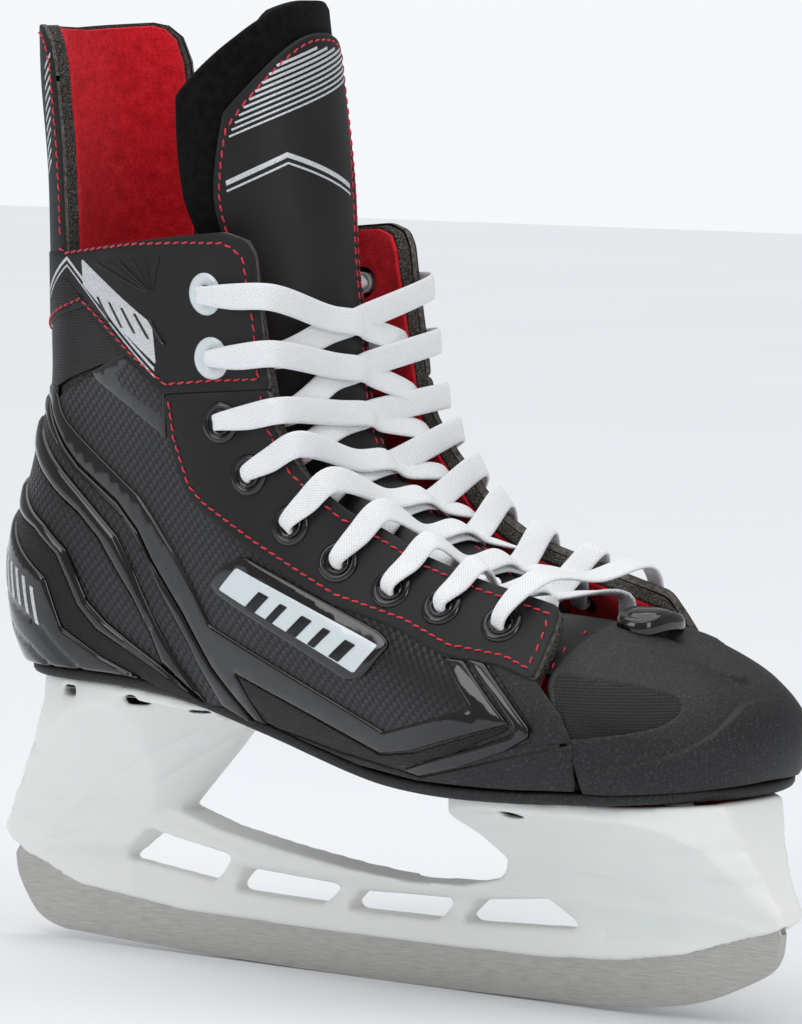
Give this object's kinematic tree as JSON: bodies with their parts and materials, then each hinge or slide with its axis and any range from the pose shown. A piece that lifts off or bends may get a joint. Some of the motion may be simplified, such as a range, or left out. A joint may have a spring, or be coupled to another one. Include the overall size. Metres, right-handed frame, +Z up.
{
  "type": "ice hockey skate",
  "caption": "Laced hard-shell ice hockey boot with a felt tongue and tendon guard, riveted to a white two-tower holder that carries a rockered steel runner.",
  "frame": {"origin": "middle of the runner's bottom edge, on the runner's centre plane", "axes": "+X towards the toe, +Y towards the inner side of the foot, +Z up; a right skate"},
  "size_m": [0.302, 0.0981, 0.291],
  "materials": {
    "synthetic": "matte",
    "carbon": "satin twill weave",
    "gloss_black": "gloss",
    "grained_black": "fine grain",
    "felt_black": "brushed felt",
    "red_lining": "brushed fabric",
    "grey_foam": "speckled foam",
    "sole_board": "matte",
    "holder_white": "satin",
    "gloss_white": "gloss",
    "lace_white": "flat weave",
    "steel": "ground",
    "fastener": "dark plated"
  },
  "bodies": {
    "boot": {"outsole": "synthetic", "backstay": "synthetic", "cuff_lateral": "synthetic", "cuff_medial": "synthetic", "eyestay_lateral": "synthetic", "eyestay_medial": "synthetic", "vamp": "synthetic", "tongue_facing_lower": "synthetic", "insole_board": "sole_board", "footbed": "felt_black", "tongue_felt_lower": "felt_black", "quarter_lateral": "carbon", "quarter_medial": "carbon", "heel_counter": "gloss_black", "lace_guard": "gloss_black", "padding": "grey_foam", "liner": "red_lining", "toe_cap": "grained_black", "eyelet_lateral_1": "gloss_white", "eyelet_lateral_2": "gloss_white", "eyelet_lateral_3": "gloss_black", "eyelet_lateral_4": "gloss_black", "eyelet_lateral_5": "gloss_black", "eyelet_lateral_6": "gloss_black", "eyelet_lateral_7": "gloss_black", "eyelet_lateral_8": "gloss_black", "eyelet_lateral_9": "gloss_black", "eyelet_medial_1": "gloss_white", "eyelet_medial_2": "gloss_white", "eyelet_medial_3": "gloss_black", "eyelet_medial_4": "gloss_black", "eyelet_medial_5": "gloss_black", "eyelet_medial_6": "gloss_black", "eyelet_medial_7": "gloss_black", "eyelet_medial_8": "gloss_black", "eyelet_medial_9": "gloss_black", "lace": "lace_white", "aglet_lateral": "gloss_white", "aglet_medial": "gloss_white", "holder": "holder_white", "runner": "steel", "runner_bolt_rear": "fastener", "runner_bolt_front": "fastener", "rivet_rear_lateral_1": "fastener", "rivet_rear_lateral_2": "fastener", "rivet_rear_lateral_3": "fastener", "rivet_rear_medial_1": "fastener", "rivet_rear_medial_2": "fastener", "rivet_rear_medial_3": "fastener", "rivet_front_lateral_1": "fastener", "rivet_front_lateral_2": "fastener", "rivet_front_lateral_3": "fastener", "rivet_front_medial_1": "fastener", "rivet_front_medial_2": "fastener", "rivet_front_medial_3": "fastener"},
    "tongue_top": {"tongue_facing_upper": "synthetic", "tongue_felt_upper": "felt_black"},
    "guard_top": {"tendon_guard": "synthetic", "tendon_foam": "grey_foam", "tendon_liner": "red_lining"}
  },
  "joints": [
    {"name": "tongue_flex", "type": "hinge", "parent": "boot", "child": "tongue_top", "pos_m": [-0.0165, 0, 0.23], "axis": [0, 1, 0], "range_deg": [0, 60], "stiffness_Nm_per_rad": 0.6},
    {"name": "tendon_guard_flex", "type": "hinge", "parent": "boot", "child": "guard_top", "pos_m": [-0.1205, 0, 0.2175], "axis": [0, -1, 0], "range_deg": [0, 28], "stiffness_Nm_per_rad": 4}
  ]
}
